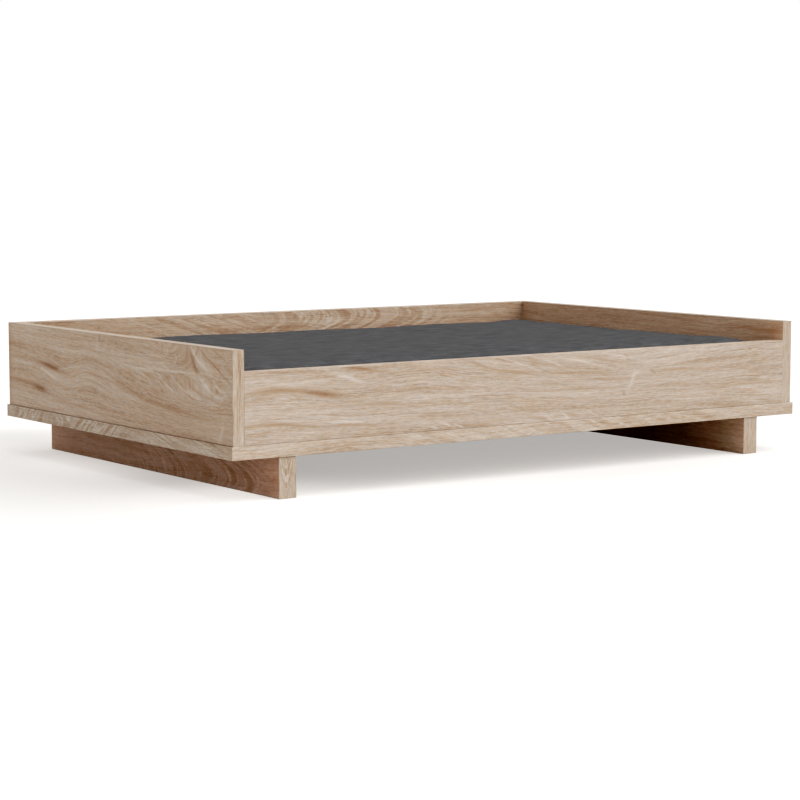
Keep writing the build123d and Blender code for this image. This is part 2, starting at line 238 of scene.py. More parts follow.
def paleFloor():
    # what the camera sees is a lit white floor with a lightened shadow; the bed gets a dimmer bounce
    material = bpy.data.materials.new("paleFloor")
    material.use_nodes = True
    tree = material.node_tree
    tree.nodes.clear()

    def diffuse(colour):
        node = tree.nodes.new("ShaderNodeBsdfDiffuse")
        node.inputs["Color"].default_value = (*colour, 1.0)
        return node

    place = tree.nodes.new("ShaderNodeTexCoord")
    split = tree.nodes.new("ShaderNodeSeparateXYZ")
    tree.links.new(place.outputs["Object"], split.inputs[0])
    x, y = [Wire(tree, split.outputs[k]) for k in range(2)]
    fill = studio["floorLift"]
    # painted light and shadow: each spot lightens or darkens the floor's glow round its place
    for cloud in studio["floorShadingSpots"]:
        fill = bell(x, y, cloud) * cloud[4] + fill
    lift = tree.nodes.new("ShaderNodeEmission")
    lift.inputs["Color"].default_value = (*studio["liftTint"], 1.0)
    tree.links.new(fill.socket, lift.inputs["Strength"])
    shown = tree.nodes.new("ShaderNodeAddShader")
    tree.links.new(diffuse(studio["floorPaint"]).outputs[0], shown.inputs[0])
    tree.links.new(lift.outputs[0], shown.inputs[1])
    path = tree.nodes.new("ShaderNodeLightPath")
    choose = tree.nodes.new("ShaderNodeMixShader")
    sink = tree.nodes.new("ShaderNodeOutputMaterial")
    tree.links.new(path.outputs["Is Camera Ray"], choose.inputs[0])
    tree.links.new(diffuse(studio["floorBounce"]).outputs[0], choose.inputs[1])
    tree.links.new(shown.outputs[0], choose.inputs[2])
    tree.links.new(choose.outputs[0], sink.inputs["Surface"])
    return material


def makeStudio():
    scene = bpy.context.scene
    scene.view_settings.view_transform = "Standard"
    scene.view_settings.use_curve_mapping = True
    curves = scene.view_settings.curve_mapping
    for light, shown in studio["contrast"]:
        curves.curves[3].points.new(light, shown)
    curves.update()
    world = bpy.data.worlds.new("studio")
    scene.world = world
    world.use_nodes = True
    tree = world.node_tree
    tree.nodes.clear()
    seen = tree.nodes.new("ShaderNodeBackground")
    glow = tree.nodes.new("ShaderNodeBackground")
    glow.inputs["Color"].default_value = (*studio["ambientTint"], 1.0)
    glow.inputs["Strength"].default_value = studio["ambient"]
    seen.inputs["Color"].default_value = (1.0, 1.0, 1.0, 1.0)
    path = tree.nodes.new("ShaderNodeLightPath")
    choose = tree.nodes.new("ShaderNodeMixShader")
    sink = tree.nodes.new("ShaderNodeOutputWorld")
    tree.links.new(path.outputs["Is Camera Ray"], choose.inputs[0])
    tree.links.new(glow.outputs[0], choose.inputs[1])
    tree.links.new(seen.outputs[0], choose.inputs[2])
    tree.links.new(choose.outputs[0], sink.inputs["Surface"])
    sun = bpy.data.lights.new("key", "SUN")
    sun.energy = studio["keyStrength"]
    sun.angle = math.radians(studio["keySpread"])
    key = bpy.data.objects.new("key", sun)
    key.rotation_euler = Vector(studio["keyFrom"]).to_track_quat("Z", "Y").to_euler()
    scene.collection.objects.link(key)
    shape = bmesh.new()
    bmesh.ops.create_grid(shape, x_segments=1, y_segments=1, size=studio["floorSize"] / 2)
    mesh = bpy.data.meshes.new("floor")
    shape.to_mesh(mesh)
    shape.free()
    floor = bpy.data.objects.new("floor", mesh)
    scene.collection.objects.link(floor)
    mesh.materials.append(paleFloor())


makeCamera()
makeStudio()
print("camera, floor and light placed")

# Oak boards

oakTones = {
    "dark": (0.30, 0.205, 0.145),
    "brown": (0.355, 0.265, 0.20),
    "tan": (0.42, 0.34, 0.275),
    "light": (0.47, 0.40, 0.345),
    "pale": (0.53, 0.475, 0.43),
    "streak": (0.25, 0.145, 0.082),
    "soft": (0.335, 0.22, 0.14),
    "white": (0.60, 0.56, 0.525),
    "shade": (0.95, 0.93, 0.91),  # what a face is toned by where its board has no tint; a tinted board's other faces keep this while its outer face takes the tint with its painted light and shade
}
oakFigure = {
    "drift": (170.0, 62.0),  # length and width of the slow waves, mm
    "wander": (48.0, 20.0),
    "broad": (260.0, 24.0, 0.48),  # length, width and weight of each layer
    "bands": (150.0, 7.0, 0.46),
    "thin": (70.0, 1.5, 0.62),
    "grit": (9.0, 1.3, 0.62),
    "fibre": (18.0, 0.9, 0.80),
    "hair": (4.0, 0.4, 0.50),
    "warmth": (26.0, 3.0),
    "rings": (150.0, 6.0),
    "pores": (7.0, 0.8),
    "tone": 0.56,  # the ramp's place that every board starts from
    "stops": ((0.08, "dark"), (0.3, "brown"), (0.5, "tan"), (0.72, "light"), (0.95, "pale")),
    "lineSharpness": 26.0,
    "lineShare": {"dark": 0.16, "pale": 0.18},
    "arcWobble": (9.0, 2.0),  # how far the waves and the grit shift an arc, mm
    "arcFeather": 4.0,  # how far the fibres shift it where the board has no value
    "arcContrast": 0.6,
    "arcSharpness": 16.0,
    "markWobble": (3.0, 1.6),  # how far the waves and the fibres shift a mark, mm
    "poreSharpness": 12.0,
    "poreShare": {"white": 0.3, "dark": 0.22},
    "coolWarm": ((0.965, 1.0, 1.03), (1.035, 1.0, 0.965)),
    "bumpDepth": 0.00012,
}


def stroke(s, t, mark):
    # a soft line at an angle, its ends bent up by the bow
    s0, t0, angle, length, width, bow = mark[:6]
    c, q = math.cos(math.radians(angle)), math.sin(math.radians(angle))
    a = s * (c / length) + (t * (q / length) - (s0 * c + t0 * q) / length)
    b = t * (c / width) - s * (q / width) - (t0 * c - s0 * q) / width
    if bow:
        b = b - a * a * (bow / width)
    return (-(a * a + b * b)).exp()


def grainPlace(f, board):
    s, t, n = f.boardPlace(board["along"], board["across"], board["origin"])
    if "ends" not in board:
        return s, t, n, 0.0
    far = abs(s) > board["reach"]
    other = f.boardPlace(*board["ends"], board["origin"])
    return [first + far * (second - first) for first, second in zip((s, t, n), other)] + [far]


def oak(name, board):
    f = Finish(name, Roughness=0.5, Specular_IOR_Level=0.5)
    s, t, n, far = grainPlace(f, board)
    outer = n > 0.0
    seed = outer * 3.7 + far * 5.3 + board["seed"]  # each face has its own figure
    flow = t + s * board.get("slope", 0.0)
    for spot in board.get("bends", ()):
        flow = flow - bell(s, t, spot) * outer * spot[4]
    for key, height in zip(("drift", "wander"), board.get("waves", (18.0, 4.0))):
        length, width = oakFigure[key]
        wave = f.noise(s * (1 / length), t * (1 / width), seed)
        flow = flow + (wave - 0.5) * height

    def layer(key, extra, detail=1.0):
        length, width = oakFigure[key][:2]
        return f.noise(s * (1 / length), flow * (1 / width), seed + extra, detail)

    fibre = layer("fibre", 41.0, 2.0)
    hair = layer("hair", 53.0, 2.0)
    pores = layer("pores", 67.0)
    grit = layer("grit", 61.0)
    patch = f.noise(s * 0.012, flow * 0.03, seed + 71.0)
    rings = layer("rings", 37.0)
    tone = oakFigure["tone"] + (fibre - 0.5) * oakFigure["fibre"][2] + (hair - 0.5) * oakFigure["hair"][2]
    for key, extra in (("broad", 11.0), ("bands", 23.0), ("thin", 29.0)):
        tone = tone + (layer(key, extra) - 0.5) * oakFigure[key][2]
    tone = tone + (grit - 0.5) * oakFigure["grit"][2]
    shown = (patch * 2.4 - 0.8).held()
    sharp = oakFigure["lineSharpness"]
    darkLine = (1.0 - abs(rings - 0.47) * sharp).held() * shown
    paleLine = (1.0 - abs(rings - 0.55) * sharp).held() * shown
    tone = tone - darkLine * oakFigure["lineShare"]["dark"] + paleLine * oakFigure["lineShare"]["pale"]
    swing, jitter = oakFigure["arcWobble"]
    feather = board.get("feather", oakFigure["arcFeather"])
    arcs = 0.0
    for s0, reach, t0, curve, lean, pitch, strength, onEnd in board.get("arches", ()):
        place = (s - s0) * (1 / reach)
        rise = t - t0
        bow = s + rise * lean + rise * rise * curve
        bow = bow + (wave - 0.5) * swing + (grit - 0.5) * jitter + (fibre - 0.5) * feather
        ring = f.noise(bow * (1 / pitch), t * 0.02, seed + s0, 0.0)
        window = (-(place * place * place * place)).exp() * outer * strength
        if "ends" in board:
            window = window * (far if onEnd else 1.0 - far)
        tone = tone + (ring - 0.5) * window * oakFigure["arcContrast"]
        line = (1.0 - abs(ring - 0.53) * oakFigure["arcSharpness"]).held()
        arcs = line * window + arcs
    colour = f.ramp(tone, [(place, oakTones[key]) for place, key in oakFigure["stops"]])
    swing, jitter = oakFigure["markWobble"]
    shift = t + (wave - 0.5) * swing + (fibre - 0.5) * jitter
    for key in ("soft", "streak", "white"):
        share = 0.0
        for mark in board.get(key, ()):
            share = stroke(s, shift, mark) * mark[6] + share
        if board.get(key):
            share = (share * outer * (0.85 + (fibre - 0.5) * 1.5 + (grit - 0.5) * 0.9)).held()
            colour = f.blend(share, colour, oakTones[key])
    if "arches" in board:
        colour = f.blend((arcs * (0.55 + (grit - 0.5) * 2.0)).held(), colour, oakTones["white"])
    sharp = oakFigure["poreSharpness"]
    flecks = ((pores - 0.64) * sharp).held()
    colour = f.blend(flecks * oakFigure["poreShare"]["white"], colour, oakTones["white"])
    dips = ((0.36 - pores) * sharp).held()
    colour = f.blend(dips * oakFigure["poreShare"]["dark"], colour, oakTones["dark"])
    warm = f.blend((layer("warmth", 83.0) - 0.5) * 2.2 + 0.5, *oakFigure["coolWarm"])
    colour = f.blend(1.0, colour, warm, "MULTIPLY")
    # the tint goes on the outer face alone: partly the board's own tone, partly painted light and shade
    # that make that face lighter or darker as light falls on it
    tint = f.blend(outer, oakTones["shade"], board.get("tint", oakTones["shade"]))
    colour = f.blend(1.0, colour, tint, "MULTIPLY")
    height = fibre * 0.6 + hair * 0.4 - dips * 0.5
    return f.feed(
        Base_Color=colour,
        Roughness=0.44 + fibre * 0.16,
        Normal=f.bump(height, oakFigure["bumpDepth"], 0.5),
    )


sideAlong, sideAcross = (0, -1, 0), (0, 0, 1)
longAlong, longAcross = (1, 0, 0), (0, 0, 1)


def middle(node):
    low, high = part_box(node)
    return (low + high) / 2


# along and across are a face's own directions; marks and bends are in mm from the board's middle
boards = {
    "left_side_panel": {
        "along": sideAlong,
        "across": sideAcross,
        "seed": 1.0,
        "tint": (1.03, 1.0, 0.985),
        "slope": 0.04,
        "waves": (7.0, 2.5),
        "bends": (  # place along, place across, length, width, rise
            (-128, -4, 36, 26, -8),
            (-62, 2, 46, 30, 8),
            (-245, 4, 40, 16, 3),
            (232, -12, 165, 25, -28),
            (214, 70, 30, 28, 44),
            (150, 60, 22, 16, -12),
        ),
        "soft": (  # place along, place across, angle, length, width, bow, strength
            (-268, -20, -1, 50, 3.0, 0, 0.8),
            (-304, 0, 90, 80, 6, 0, 0.6),
            (45, -7, -15, 42, 1.2, 0, 0.95),
            (170, -25, -5, 78, 1.2, 2, 0.95),
            (70, 5, -16, 42, 1.1, 0, 0.6),
            (-42, 3, -7, 28, 1.4, -1, 0.5),
            (-45, -7, -9, 36, 1.4, -2, 0.5),
            (-80, 11, 0, 34, 1.2, -4, 0.4),
            (200, 42, -90, 20, 13, 0, 0.45),
            (280, 48, -20, 30, 1.2, 0, 0.5),
            (297, 34, -20, 8, 3, 0, 0.5),
            (150, 15, -8, 11, 4, 0, 0.6),
            (172, 17, -8, 11, 4, 0, 0.4),
            (120, -6, -15, 13, 4, 0, 0.45),
            (222, 2, -18, 32, 1.4, 2, 0.55),
            (262, -6, -10, 26, 1.3, 2, 0.5),
            (112, 8, -20, 22, 2.5, 0, 0.4),
            (-140, -41, -2, 42, 1.8, 0, 0.45),
            (-75, -43, 0, 30, 1.2, 0, 0.35),
            (137, 51, 80, 6, 1.6, 1, 0.6),
            (147, 54, 80, 4, 1.6, 1, 0.5),
            (163, 53, 75, 5, 1.6, 2, 0.4),
            (20, 55, 0, 60, 1.5, 0, 0.3),
            (-290, 30, 0, 20, 3, 0, 0.35),
        ),
        "streak": (
            (-176, 5.5, -7.5, 34, 2.8, 0, 0.85),
            (-172, 5, -9, 24, 5.5, 0, 0.35),
            (-206, -27, -7, 26, 6, 0, 0.4),
            (-174, 5.5, -9, 17, 2.8, 0, 0.6),
            (-132, -1.5, -5, 16, 1.0, 0, 0.45),
            (-210, -27, -7, 19, 3.8, 0, 0.85),
            (214, 38, -62, 14, 3.2, 0, 0.7),
            (222, 30, -20, 8, 2.4, 0, 0.5),
            (262, 38, -27, 42, 1.3, 0, 0.8),
            (174, 38, 65, 6, 1.8, 2, 0.35),
            (-32, 56, 90, 6, 2, 0, 0.6),
        ),
        "white": (
            (222, 43, -38, 22, 2.4, 4, 0.8),
            (236, 37, -30, 14, 5, 0, 0.35),
            (85, 39, 0, 52, 1.2, 0, 0.55),
            (149, 47, 90, 8, 1.3, 6, 0.65),
            (135, 31.5, 3, 32, 1.2, 0, 0.55),
            (172, 39, 90, 7, 1.2, 6, 0.6),
            (60, 30, 0, 60, 4, 0, 0.25),
            (165, 23, 2, 56, 1.4, 0, 0.75),
            (75, 21, 0, 50, 1.0, 0, 0.45),
            (148, 4, -24, 32, 1.4, 3, 0.65),
            (195, 0, -19, 38, 1.3, 4, 0.6),
            (204, 0, -8, 10, 2.4, 0, 0.5),
            (255, 4, -20, 30, 1.9, 5, 0.7),
            (274, 9, -25, 20, 1.8, 6, 0.8),
            (242, 13, -30, 10, 3.5, 2, 0.5),
            (262, -8, -6, 12, 2, 0, 0.5),
            (281, -42, 70, 14, 3.5, 2, 0.45),
            (78, 16, -20, 10, 2.5, 0, 0.4),
            (75, 2, -14, 14, 2, 0, 0.4),
            (-262, 6, 0, 36, 1.1, -1, 0.55),
            (-186, -4, -17, 28, 1.3, 0, 0.6),
            (-166, -9, -12, 26, 2.2, 0, 0.5),
            (-120, 7, 8, 30, 1.2, 0, 0.55),
            (-75, 11, 0, 36, 1.2, -4, 0.45),
            (-232, -14, -17, 15, 1.2, 0, 0.45),
            (-38, 45, 90, 10, 3, 0, 0.3),
            (10, -10, -10, 60, 1.4, 0, 0.35),
        ),
    },
    "front_panel": {
        "along": longAlong,
        "across": longAcross,
        "seed": 5.0,
        "tint": (0.925, 0.93, 0.935),
        "slope": 0.02,
        "waves": (7.0, 2.5),
        "bends": (
            (-395, 14, 60, 22, 6),
            (-395, -22, 60, 14, 2),
            (-185, 30, 60, 22, 5),
            (150, 34, 170, 34, -20),
            (60, 56, 90, 22, -16),
        ),
        "soft": (
            (-398, 20, 0, 46, 4, -3, 0.8),
            (-250, 36.5, -8, 20, 1.4, 0, 0.6),
            (-245, -5, -3, 52, 3, 0, 0.65),
            (-395, -21.5, -3, 44, 2.2, -2, 0.9),
            (-290, -28.5, -3, 56, 1.2, 0, 0.75),
            (-175, 10.5, -4, 52, 1.2, 0, 0.5),
            (-95, 37, -18, 24, 1.7, 0, 0.7),
            (-40, 25.5, -9, 42, 1.5, 0, 0.75),
            (-8, 40, -20, 14, 2, 0, 0.5),
            (115, 33, -9, 46, 1.7, 0, 0.6),
            (60, 19, -3, 56, 1.8, 0, 0.5),
            (250, 14, -2, 52, 2.2, 0, 0.55),
            (120, 8, -2, 46, 1.4, 0, 0.65),
            (380, -12.5, 1, 66, 1.2, 0, 0.65),
            (60, -3, -1, 56, 1, 0, 0.45),
            (60, -37, -15, 12, 3, 0, 0.5),
            (330, -40, -5, 26, 2.2, 0, 0.6),
            (420, -39, -5, 20, 2.2, 0, 0.5),
            (-95, -40, 0, 20, 2.6, 0, 0.5),
            (10, -40, -15, 22, 2.4, 0, 0.5),
            (-400, 4, -2, 60, 1, 0, 0.35),
            (-430, -38, -8, 20, 1.2, 0, 0.4),
            (290, 37, 0, 60, 1, 0, 0.35),
            (-150, 34, -4, 50, 1.2, 0, 0.35),
        ),
        "streak": (
            (-330, 12, -7, 25, 3.6, 0, 0.9),
            (-285, 42.5, -10, 24, 3, 0, 0.9),
            (-350, 15, -10, 14, 2, 0, 0.4),
            (150, -14, 0, 3, 2.6, 0, 0.6),
            (202, 13, -30, 6, 1.8, 0, 0.5),
            (381, 36, -40, 4, 1.8, 0, 0.6),
            (154, 36, -30, 5, 1.8, 0, 0.5),
            (-201, -40, 0, 3, 2, 0, 0.5),
        ),
        "white": (
            (-298, 32, -17, 25, 2.8, 0, 0.65),
            (-290, -24, -4, 36, 1.8, 0, 0.7),
            (-28, 35, -18, 24, 1.4, 0, 0.55),
            (75, 33, -12, 42, 1.3, 0, 0.6),
            (135, 38.5, -10, 26, 1.5, 0, 0.6),
            (30, 33, -20, 18, 1.4, 0, 0.5),
            (164, 1, 62, 13, 3, 2, 0.5),
            (172, 13, 10, 9, 3, 0, 0.5),
            (-165, -39, -15, 7, 1, 0, 0.8),
            (-145, -37.5, -18, 8, 1, 0, 0.8),
            (-125, -40.5, -18, 7, 1, 0, 0.8),
            (50, -38, -35, 9, 1.5, 0, 0.7),
            (20, -38, -30, 9, 1.2, 0, 0.6),
            (96, -37, -30, 9, 1.2, 0, 0.5),
            (-390, 10, 3, 16, 1.8, 0, 0.5),
            (-345, 29, 4, 34, 2, 0, 0.45),
            (-110, 0, 0, 40, 2.4, 0, 0.4),
            (-430, 32, 6, 24, 1.4, 0, 0.4),
            (270, 39, 0, 70, 1.6, 0, 0.35),
            (300, 2, 0, 90, 4, 0, 0.2),
            (384, 33, 20, 6, 1.2, 0, 0.5),
        ),
    },
}
boards["right_side_panel"] = {
    "along": sideAlong,
    "across": sideAcross,
    "seed": 11.0,
    # painted light: the face towards the cushion is made lighter and redder than the board's other faces
    "tint": (1.22, 1.05, 0.91),
    "soft": (
        (250, 44, -2, 42, 2, 2, 0.9),
        (265, 33, 2, 35, 2, 0, 0.8),
        (285, 42, 5, 16, 5, 0, 0.6),
        (60, 52, -3, 120, 1.2, 0, 0.5),
        (150, 36, 0, 90, 1.2, 0, 0.4),
        (-100, 48, 0, 60, 1.2, 0, 0.35),
    ),
}
boards["back_panel"] = {
    "along": longAlong,
    "across": longAcross,
    "seed": 21.0,
    "slope": 0.05,
    # painted shade: the face towards the cushion is made darker and warmer than the board's other faces
    "tint": (0.91, 0.81, 0.725),
    "feather": 8.0,
    "arches": (
        (120, 165, 48, 0.09, 0.0, 13, 1.5, 0),
        (-180, 130, 45, 0.0, 3.0, 14, 1.1, 0),
    ),
    "streak": ((6, 50, 60, 3, 2, 0, 0.6), (-328, 46, 70, 3, 2, 0, 0.5)),
    "soft": ((340, 48, 3, 40, 1.5, 0, 0.5), (370, 35, -2, 40, 1.5, 0, 0.4)),
}
boards["base_board"] = {"along": longAlong, "across": (0, 1, 0), "seed": 25.0}
boards["left_skid"] = {
    "along": sideAlong,
    "across": sideAcross,
    "seed": 12.0,
    # painted shade: the outer face, in shade under the base, is made redder and darker in green and blue
    "tint": (1.10, 0.87, 0.79),
    "arches": (  # place along, reach, place across, curve, lean, pitch, strength, on an end face
        (190, 85, -14, 0.08, 0.0, 13, 1.5, 0),
        (30, 80, -12, 0.05, 1.0, 12, 1.3, 0),
    ),
    "soft": ((215, -8, 0, 40, 7, 0, 0.4), (90, -8, 0, 40, 7, 0, 0.5), (-60, 0, -3, 90, 2, 0, 0.5)),
}
boards["right_skid"] = {
    "along": sideAlong,
    "across": sideAcross,
    "seed": 13.0,
    # painted light: the face towards the middle of the bed is made lighter than the board's other faces
    "tint": (1.3, 1.15, 1.08),
}
for name in ("base_edge_bands", "front_panel_edge_band", "back_panel_edge_band"):
    boards[name] = {"along": longAlong, "across": longAcross, "seed": 31.0 + len(boards)}
for name in ("left_side", "right_side", "left_skid", "right_skid"):
    boards[name + "_edge_bands"] = {
        "along": (0, 0, 1),
        "across": (-1, 0, 0),
        "ends": (sideAlong, (1, 0, 0)),  # directions on the faces past the reach
        "seed": 41.0 + len(boards),
        "tint": (0.89, 0.88, 0.86),
    }
boards["base_edge_bands"].update(ends=(sideAlong, sideAcross), tint=(0.95, 0.95, 0.94))
boards["base_edge_bands"]["arches"] = (
    (-240, 65, 0, 0.0, -0.8, 15, 1.2, 1),
    (-140, 30, 0, 0.12, 0.0, 17, 1.3, 1),
    (-35, 80, 0, 0.0, -1.2, 14, 1.5, 1),
    (190, 120, 0, 0.0, 4.0, 20, 1.1, 1),
    (-190, 100, 0, 0.0, 3.2, 24, 0.5, 0),
    (50, 160, 0, 0.0, 2.6, 22, 0.85, 0),
    (330, 110, 0, 0.0, 4.5, 34, 0.6, 0),
)
boards["left_skid_edge_bands"]["arches"] = ((0, 60, 0, -0.35, 1.5, 13, 1.0, 0),)
boards["left_side_edge_bands"]["arches"] = ((20, 60, 0, 0.0, 5.0, 30, 0.5, 0),)
boards["left_skid_edge_bands"]["waves"] = (26.0, 12.0)


def dress(name, material):
    mesh = nodes[name].data
    for k in range(len(mesh.materials)):
        mesh.materials[k] = material
    if not mesh.materials:
        mesh.materials.append(material)


for name, board in boards.items():
    board["origin"] = middle(name)
    low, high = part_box(name)
    board["reach"] = abs(Vector(board["along"]).dot(high - low)) * 500.0 - 0.3
    dress(name, oak(name + "Oak", board))
print("oak boards finished")

# Cushion: a simulated cover round a foam block

cushion = {
    "startGap": 0.0035,  # how much smaller the block starts than the cushion's place
    "cornerRound": 0.020,
    "rimRound": 0.007,
    "voxel": 0.0075,
    "pressure": 4.0,
    "steps": 20,
    "mostMove": 0.0085,
    "wallGap": 0.0012,  # kept clear of the walls
    "sag": 0.0030,  # how much lower the rim is halfway along a side than at the corners
    "crown": 0.0020,
    "seamDepth": 0.0014,
    "seamHalfWidth": 0.0016,
    "pucker": 0.0004,
    "puckerPitch": 0.011,
    "seamIn": 0.007,  # the seams' distance below the top and above the base
    "zipBand": 0.016,  # half height of the flat strip that carries the zip
    "waves": (0.0006, 0.0005),  # heights of the two slow waves over the rim and the top
    "backBulge": 0.0015,  # how far the back may swell past the base, off the zip
    "bevels": (6, 3),  # segments round the corners and round the rim
}
charcoal = {
    "thread": 0.9,  # pitch of the threads, mm
    "yarns": ((0.070, 0.0715, 0.075), (0.123, 0.125, 0.130)),  # darker and lighter yarn
    "slub": (30.0, 1.1),  # length and width of the thick places in the yarn, mm
    "cloud": (34.0, 15.0),  # length and width of the mottled patches, mm
    "bumpDepth": 0.00025,
}
grip = {
    "yarns": ((0.05, 0.05, 0.053), (0.085, 0.085, 0.088)),
    "rubber": (0.022, 0.022, 0.024),
    "dotPitch": 4.0,  # half the way from dot to dot, mm
    "dotRadius": 1.1,
}
foamBlock = {
    "inset": 0.004,
    "cornerRound": 0.018,
    "rimRound": 0.008,
    "cell": 1.3,  # mm
    "dark": (0.62, 0.55, 0.38),
    "light": (0.80, 0.75, 0.58),
}


def newPiece(name, shape, smooth=True):
    mesh = bpy.data.meshes.new(name)
    shape.to_mesh(mesh)
    shape.free()
    for face in mesh.polygons:
        face.use_smooth = smooth
    piece = bpy.data.objects.new(name, mesh)
    bpy.context.scene.collection.objects.link(piece)
    return piece


def settled(piece):
    # the piece's mesh with its modifiers worked in
    ready = bpy.context.evaluated_depsgraph_get()
    return bpy.data.meshes.new_from_object(piece.evaluated_get(ready))


def bevelEdges(shape, edges, offset, segments):
    bmesh.ops.bevel(
        shape, geom=edges, offset=offset, segments=segments, affect="EDGES", profile=0.5, material=-1
    )


def blockShape(shape, low, high):
    made = bmesh.ops.create_cube(shape, size=1.0)["verts"]
    bmesh.ops.scale(shape, vec=high - low, verts=made)
    bmesh.ops.translate(shape, vec=(low + high) / 2, verts=made)
    return made


def paddedBlock(low, high, cornerRound, rimRound):
    shape = bmesh.new()
    blockShape(shape, low, high)
    upright = [e for e in shape.edges if abs(e.verts[0].co.z - e.verts[1].co.z) > 0.01]
    bevelEdges(shape, upright, cornerRound, cushion["bevels"][0])
    lids = [f for f in shape.faces if abs(f.normal.z) > 0.9]
    bevelEdges(shape, [e for f in lids for e in f.edges], rimRound, cushion["bevels"][1])
    bmesh.ops.recalc_face_normals(shape, faces=shape.faces)
    return shape


def simulateCover(cover):
    # the cover swells; no point ends inside the shape it started from, or far out of it
    mesh = cover.data
    start = [(v.co.copy(), v.normal.copy()) for v in mesh.vertices]
    cloth = cover.modifiers.new("cloth", "CLOTH")
    cloth.settings.quality = 5
    cloth.settings.use_pressure = True
    cloth.settings.uniform_pressure_force = cushion["pressure"]
    cloth.settings.effector_weights.gravity = 0
    scene = bpy.context.scene
    for step in range(1, cushion["steps"] + 1):
        scene.frame_set(step)
    swollen = settled(cover)
    cover.modifiers.remove(cloth)
    scene.frame_set(1)
    for vertex, (place, out), after in zip(mesh.vertices, start, swollen.vertices):
        move = after.co - place
        move -= out * min(move.dot(out), 0.0)
        if move.length > cushion["mostMove"]:
            move *= cushion["mostMove"] / move.length
        vertex.co = place + move


def sewSeams(shape, low, high):
    # three rows of points round each seam, the middle one drawn in and puckered
    half = cushion["seamHalfWidth"]
    for seam in (high.z - cushion["seamIn"], low.z + cushion["seamIn"]):
        for offset in (-half, 0.0, half):
            geom = shape.verts[:] + shape.edges[:] + shape.faces[:]
            level = Vector((0, 0, seam + offset))
            bmesh.ops.bisect_plane(shape, geom=geom, dist=1e-6, plane_co=level, plane_no=(0, 0, 1))
        shape.normal_update()
        row = [v for v in shape.verts if abs(v.co.z - seam) < half * 0.3]
        for v in row:
            out = Vector((v.normal.x, v.normal.y, 0)).normalized()
            gather = math.sin((v.co.x + v.co.y) * 2 * math.pi / cushion["puckerPitch"])
            v.co -= out * (cushion["seamDepth"] + cushion["pucker"] * gather)


def settleCover(shape, low, high):
    # the rim's sag, the crown, the flat zip strip, and room from the neighbours
    middle, half = (low + high) / 2, (high - low) / 2
    left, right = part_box("left_side_panel")[1].x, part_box("right_side_panel")[0].x
    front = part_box("front_panel")[1].y
    clear = cushion["wallGap"]
    for v in shape.verts:
        p = v.co
        a, b = (p.x - middle.x) / half.x, (p.y - middle.y) / half.y
        lift = min(max((p.z - middle.z) / half.z, 0), 1)
        sag = cushion["sag"] * (math.cos(a * math.pi / 2) ** 2 + math.cos(b * math.pi / 2) ** 2) / 2
        wave = cushion["waves"][0] * math.sin(p.x * 31 + 1.3)
        wave += cushion["waves"][1] * math.sin(p.y * 37 + p.x * 9)
        p.z += lift * (wave - sag + cushion["crown"] * (1 - a * a) * (1 - b * b))
        p.z = max(p.z, low.z)
        p.x = min(max(p.x, left + clear), right - clear)
        p.y = min(max(p.y, front + clear), high.y + cushion["backBulge"])
        if abs(p.z - middle.z) < cushion["zipBand"]:
            p.y = min(p.y, high.y)


def clothMap(shape, low, high):
    # lid faces take x and y, side faces the way round and the height, all in metres
    layer = shape.loops.layers.uv.new("weave")
    shape.normal_update()
    seams = (low.z + cushion["seamIn"], high.z - cushion["seamIn"])
    for face in shape.faces:
        n = face.normal
        centre = face.calc_center_median()
        lid = centre.z < seams[0] or centre.z > seams[1]
        for loop in face.loops:
            p = loop.vert.co
            if lid:
                loop[layer].uv = (p.x, p.y)
            elif abs(n.x) > abs(n.y):
                loop[layer].uv = (p.y, p.z)
            else:
                loop[layer].uv = (p.x, p.z)


def makeCover():
    low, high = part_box("cover_base")[0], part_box("cover_top")[1]
    gap = Vector((1, 1, 1)) * cushion["startGap"]
    block = paddedBlock(low + gap, high - gap, cushion["cornerRound"], cushion["rimRound"])
    blank = newPiece("blank", block)
    remesh = blank.modifiers.new("remesh", "REMESH")
    remesh.mode = "VOXEL"
    remesh.voxel_size = cushion["voxel"]
    cover = bpy.data.objects.new("cushionCover", settled(blank))
    bpy.data.objects.remove(blank)
    bpy.context.scene.collection.objects.link(cover)
    simulateCover(cover)
    shape = bmesh.new()
    shape.from_mesh(cover.data)
    sewSeams(shape, low, high)
    settleCover(shape, low, high)
    clothMap(shape, low, high)
    shape.to_mesh(cover.data)
    shape.free()
    for face in cover.data.polygons:
        face.use_smooth = True
        face.material_index = 1 if face.center.z < low.z + cushion["seamIn"] else 0
    smooth = cover.modifiers.new("smooth", "SUBSURF")
    smooth.levels = smooth.render_levels = 1
    cover.data.materials.clear()
    cover.data.materials.append(wovenCloth("charcoalCloth", charcoal["yarns"], 0.92))
    cover.data.materials.append(gripCloth())
    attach(cover, "cushion")
    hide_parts("cover_top", "cover_boxing", "cover_base")
    print("cushion cover simulated")


def clothPlace(f):
    spot = f.add("ShaderNodeUVMap", {"uv_map": "weave"})
    return [part * 1000.0 for part in f.parts(spot)[:2]]


def weaveHeight(across, along, pitch):
    # plain weave: over-and-under threads as two crossed waves
    a = (across * (2 * math.pi / pitch)).wave()
    b = (along * (2 * math.pi / pitch)).wave()
    return a * b * 0.5 + 0.5


